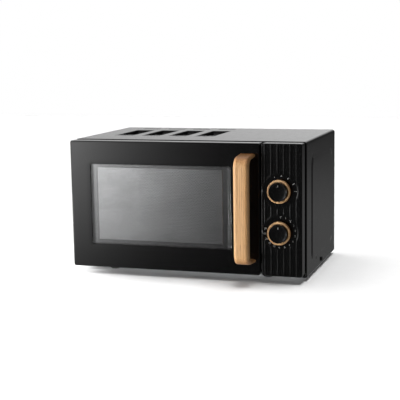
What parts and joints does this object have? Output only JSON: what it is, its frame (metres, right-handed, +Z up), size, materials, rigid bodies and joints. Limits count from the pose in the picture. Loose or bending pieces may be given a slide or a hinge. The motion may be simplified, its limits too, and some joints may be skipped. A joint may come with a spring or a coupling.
{
  "type": "microwave oven",
  "caption": "Compact countertop microwave oven with a side-hinged windowed door, bow handle, two turn dials, glass turntable and a pressed sheet case.",
  "frame": {"origin": "under the middle of the oven, on the surface that its feet stand on", "axes": "+X to the right as seen from the front, +Y from the door towards the back, +Z up"},
  "size_m": [0.4606, 0.362, 0.258],
  "materials": {
    "black_paint": "glossy black stoved paint on pressed sheet",
    "gloss_black": "high-gloss black moulding",
    "matte_black": "satin black moulding",
    "window_glass": "smoked front pane",
    "clear_film": "clear inner sheet",
    "screen_paint": "black painted perforated steel",
    "oak_wood": "oiled light oak",
    "zinc_steel": "galvanised sheet",
    "cavity_paint": "grey easy-clean paint",
    "white_plastic": "white moulding",
    "grey_plastic": "grey moulding",
    "foot_rubber": "black foot",
    "tray_glass": "clear pressed glass",
    "mica_sheet": "mica board",
    "core_iron": "laminated core, varnished",
    "copper_wire": "enamelled winding",
    "coil_tape": "taped winding",
    "aluminium": "drawn can and fins",
    "circuit_board": "paper-phenolic board",
    "switch_plastic": "black switch housing",
    "lamp_glass": "clear bulb",
    "bell_chrome": "plated bell"
  },
  "bodies": {
    "chassis": {"outer_case": "black_paint", "rear_panel": "zinc_steel", "cord_gland": "matte_black", "base_plate": "zinc_steel", "case_screw_left": "black_paint", "case_screw_right": "black_paint", "foot_front_left": "foot_rubber", "foot_front_right": "foot_rubber", "foot_rear_left": "foot_rubber", "foot_rear_right": "foot_rubber", "cavity_liner": "cavity_paint", "turntable_motor": "zinc_steel", "hinge_upper": "zinc_steel", "hinge_lower": "zinc_steel", "control_panel": "gloss_black", "timer_unit": "white_plastic", "timer_bell": "bell_chrome", "interlock_bracket": "white_plastic", "primary_switch": "switch_plastic", "monitor_switch": "switch_plastic", "secondary_switch": "switch_plastic", "waveguide": "zinc_steel", "magnetron": "aluminium", "mica_cover": "mica_sheet", "transformer_core": "core_iron", "transformer_primary": "copper_wire", "transformer_secondary": "coil_tape", "capacitor": "aluminium", "high_voltage_diode": "switch_plastic", "fan_motor": "zinc_steel", "fan_shroud": "grey_plastic", "filter_board": "circuit_board", "line_fuse": "lamp_glass", "oven_lamp": "lamp_glass", "thermal_cutout": "switch_plastic"},
    "door": {"door_frame": "gloss_black", "door_window": "window_glass", "door_screen": "screen_paint", "choke_cover": "matte_black", "door_inner_film": "clear_film", "door_handle": "oak_wood", "handle_screw_lower": "zinc_steel", "handle_screw_upper": "zinc_steel", "latch_spring": "zinc_steel"},
    "latch": {"latch_hook": "grey_plastic"},
    "interlock_lever": {"interlock_lever": "grey_plastic"},
    "power_dial": {"power_knob_ring": "oak_wood", "power_knob_cap": "gloss_black", "power_shaft": "white_plastic"},
    "timer_dial": {"timer_knob_ring": "oak_wood", "timer_knob_cap": "gloss_black", "timer_shaft": "white_plastic"},
    "fan": {"fan_blade": "white_plastic"},
    "coupler": {"turntable_shaft": "white_plastic", "drive_coupler": "white_plastic"},
    "tray": {"glass_turntable": "tray_glass"},
    "roller_ring": {"roller_ring": "white_plastic"},
    "roller_1": {"roller_1": "white_plastic"},
    "roller_2": {"roller_2": "white_plastic"},
    "roller_3": {"roller_3": "white_plastic"}
  },
  "joints": [
    {"name": "door_hinge", "type": "hinge", "parent": "chassis", "child": "door", "pos_m": [-0.216, -0.115, 0.1335], "axis": [0, 0, -1], "range_deg": [0, 100]},
    {"name": "latch_slide", "type": "slide", "parent": "door", "child": "latch", "axis": [0, 0, 1], "range_m": [0, 0.004], "stiffness_N_per_m": 300, "springref_m": -0.003, "deforming": ["latch_spring"]},
    {"name": "interlock_lever_pivot", "type": "hinge", "parent": "chassis", "child": "interlock_lever", "pos_m": [0.138, -0.077, 0.1335], "axis": [-1, 0, 0], "range_deg": [0, 6], "stiffness_Nm_per_rad": 0.05, "springref_deg": -5.73},
    {"name": "power_dial_turn", "type": "hinge", "parent": "chassis", "child": "power_dial", "pos_m": [0.185, -0.131, 0.1713], "axis": [0, 1, 0], "range_deg": [0, 112]},
    {"name": "timer_dial_turn", "type": "hinge", "parent": "chassis", "child": "timer_dial", "pos_m": [0.185, -0.131, 0.0953], "axis": [0, 1, 0], "range_deg": [0, 282]},
    {"name": "fan_spin", "type": "hinge", "parent": "chassis", "child": "fan", "pos_m": [0.169, 0.145, 0.1635], "axis": [0, 1, 0], "continuous": true},
    {"name": "turntable_spin", "type": "hinge", "parent": "chassis", "child": "coupler", "pos_m": [-0.046, 0.03, 0.0435], "axis": [0, 0, 1], "continuous": true},
    {"name": "tray_lift", "type": "slide", "parent": "coupler", "child": "tray", "axis": [0, 0, 1], "range_m": [0, 0.02]},
    {"name": "roller_ring_spin", "type": "hinge", "parent": "chassis", "child": "roller_ring", "pos_m": [-0.046, 0.03, 0.0382], "axis": [0, 0, 1], "continuous": true},
    {"name": "roller_1_spin", "type": "hinge", "parent": "roller_ring", "child": "roller_1", "pos_m": [0.055, 0.03, 0.0382], "axis": [1, 0, 0], "continuous": true},
    {"name": "roller_2_spin", "type": "hinge", "parent": "roller_ring", "child": "roller_2", "pos_m": [-0.0965, 0.11747, 0.0382], "axis": [-0.5, 0.866, 0], "continuous": true},
    {"name": "roller_3_spin", "type": "hinge", "parent": "roller_ring", "child": "roller_3", "pos_m": [-0.0965, -0.05747, 0.0382], "axis": [-0.5, -0.866, 0], "continuous": true}
  ],
  "couplings": [
    {"joint": "roller_ring_spin", "follows": "turntable_spin", "ratio": 0.5},
    {"joint": "roller_1_spin", "follows": "turntable_spin", "ratio": -6.3125},
    {"joint": "roller_2_spin", "follows": "turntable_spin", "ratio": -6.3125},
    {"joint": "roller_3_spin", "follows": "turntable_spin", "ratio": -6.3125}
  ]
}
